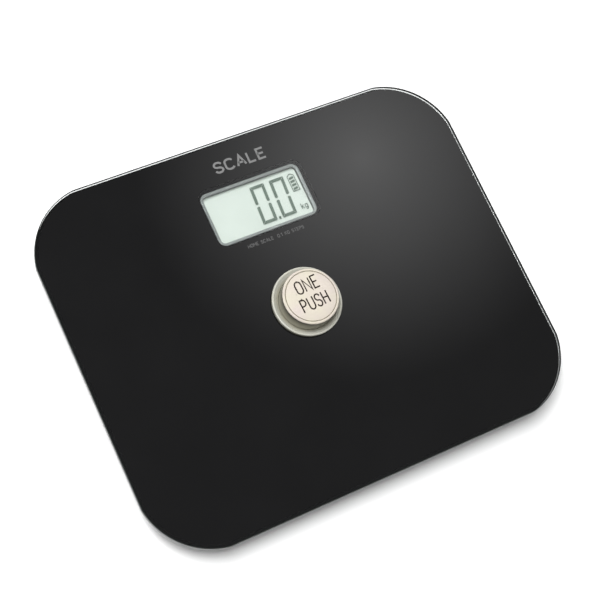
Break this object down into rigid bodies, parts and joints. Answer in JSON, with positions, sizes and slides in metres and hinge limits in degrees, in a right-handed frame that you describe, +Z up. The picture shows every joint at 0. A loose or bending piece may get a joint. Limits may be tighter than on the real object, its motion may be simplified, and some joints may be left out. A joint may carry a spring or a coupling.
{
  "type": "digital bathroom scale",
  "caption": "Flat glass bathroom scale with a display window, a tall sprung charging button in the middle and sensing feet.",
  "frame": {"origin": "middle of the scale's plan, on the floor that its feet stand on", "axes": "+Z up, +X along the long side to the user's right, +Y from the heels to the display"},
  "size_m": [0.32, 0.26, 0.04],
  "materials": {
    "platform_glass": "polished, clear at the ground edge",
    "black_print": "black ink on the back of the glass",
    "silver_trim": "satin silver-grey moulding",
    "lcd_glass": "matt polariser over a pale green-grey display",
    "reflector": "matt reflective film",
    "silicone": "matt silicone",
    "circuit_board": "solder mask",
    "black_resin": "moulded resin",
    "capacitor_sleeve": "shrink sleeve",
    "diode_glass": "glass body",
    "nylon": "natural nylon",
    "zinc_steel": "zinc-plated",
    "pearl_trim": "satin pearl paint",
    "pearl_cap": "satin pearl paint",
    "gasket_rubber": "matt",
    "dark_plastic": "moulded",
    "tray_plastic": "fine moulded texture",
    "foam_tape": "white acrylic foam",
    "lead_cover": "PVC cover",
    "soft_iron": "stamped iron",
    "copper": "enamelled copper",
    "label_stock": "blank paper label",
    "spring_steel": "drawn wire",
    "acetal": "natural acetal",
    "bright_steel": "ground pin",
    "brass": "machined",
    "magnet": "sintered ferrite",
    "cell_steel": "stamped steel",
    "pad_rubber": "grey rubber"
  },
  "bodies": {
    "platform": {"glass_platform": "platform_glass", "print_film": "black_print", "display_bezel": "silver_trim", "lcd_panel": "lcd_glass", "lcd_reflector": "reflector", "zebra_strips": "silicone", "main_board": "circuit_board", "processor_blob": "black_resin", "converter_chip": "black_resin", "storage_capacitor": "capacitor_sleeve", "rectifier_diodes": "diode_glass", "board_connectors": "nylon", "board_screws": "zinc_steel", "button_bezel": "pearl_trim", "bezel_gasket": "gasket_rubber", "bezel_nut": "dark_plastic", "base_tray": "tray_plastic", "tray_tape": "foam_tape", "glass_pads": "foam_tape", "foot_housing_fl": "nylon", "foot_housing_fr": "nylon", "foot_housing_bl": "nylon", "foot_housing_br": "nylon", "housing_screws": "zinc_steel", "cell_leads": "lead_cover", "generator_base": "nylon", "spring_seat": "nylon", "stator_yoke": "soft_iron", "coil_bobbin": "dark_plastic", "coil_winding": "copper", "coil_leads": "copper", "generator_screws": "zinc_steel", "rating_label": "label_stock", "switch_body": "dark_plastic", "return_spring": "spring_steel"},
    "button": {"button_cap": "pearl_cap", "button_plunger": "acetal", "plunger_screws": "zinc_steel"},
    "drive": {"drive_gear": "acetal", "drive_axle": "bright_steel"},
    "idler": {"idler_gear": "acetal", "idler_axle": "bright_steel"},
    "rotor": {"rotor_pinion": "brass", "rotor_magnet": "magnet", "rotor_shaft": "bright_steel"},
    "unit_switch": {"switch_knob": "acetal"},
    "foot_fl": {"foot_cup_fl": "dark_plastic", "foot_pad_fl": "pad_rubber", "load_cell_fl": "cell_steel"},
    "foot_fr": {"foot_cup_fr": "dark_plastic", "foot_pad_fr": "pad_rubber", "load_cell_fr": "cell_steel"},
    "foot_bl": {"foot_cup_bl": "dark_plastic", "foot_pad_bl": "pad_rubber", "load_cell_bl": "cell_steel"},
    "foot_br": {"foot_cup_br": "dark_plastic", "foot_pad_br": "pad_rubber", "load_cell_br": "cell_steel"}
  },
  "joints": [
    {"name": "button_press", "type": "slide", "parent": "platform", "child": "button", "axis": [0, 0, -1], "range_m": [0, 0.007], "stiffness_N_per_m": 500, "springref_m": -0.012, "deforming": ["return_spring"]},
    {"name": "drive_spin", "type": "hinge", "parent": "platform", "child": "drive", "pos_m": [0, 0.005, 0.017], "axis": [-1, 0, 0], "range_deg": [0, 112.41]},
    {"name": "idler_spin", "type": "hinge", "parent": "platform", "child": "idler", "pos_m": [0, -0.00531, 0.015], "axis": [-1, 0, 0], "range_deg": [-359.51, 0]},
    {"name": "rotor_spin", "type": "hinge", "parent": "platform", "child": "rotor", "pos_m": [0, -0.01317, 0.0135], "axis": [-1, 0, 0], "range_deg": [0, 1078.52]},
    {"name": "unit_slide", "type": "slide", "parent": "platform", "child": "unit_switch", "axis": [1, 0, 0], "range_m": [-0.002, 0.002]},
    {"name": "foot_flex_fl", "type": "slide", "parent": "platform", "child": "foot_fl", "axis": [0, 0, 1], "range_m": [0, 0.0005], "stiffness_N_per_m": 2000, "springref_m": -0.005, "deforming": ["load_cell_fl"]},
    {"name": "foot_flex_fr", "type": "slide", "parent": "platform", "child": "foot_fr", "axis": [0, 0, 1], "range_m": [0, 0.0005], "stiffness_N_per_m": 2000, "springref_m": -0.005, "deforming": ["load_cell_fr"]},
    {"name": "foot_flex_bl", "type": "slide", "parent": "platform", "child": "foot_bl", "axis": [0, 0, 1], "range_m": [0, 0.0005], "stiffness_N_per_m": 2000, "springref_m": -0.005, "deforming": ["load_cell_bl"]},
    {"name": "foot_flex_br", "type": "slide", "parent": "platform", "child": "foot_br", "axis": [0, 0, 1], "range_m": [0, 0.0005], "stiffness_N_per_m": 2000, "springref_m": -0.005, "deforming": ["load_cell_br"]}
  ],
  "couplings": [
    {"joint": "drive_spin", "follows": "button_press", "rad_per_m": 277.78},
    {"joint": "idler_spin", "follows": "button_press", "rad_per_m": -888.89},
    {"joint": "rotor_spin", "follows": "button_press", "rad_per_m": 2666.7}
  ]
}
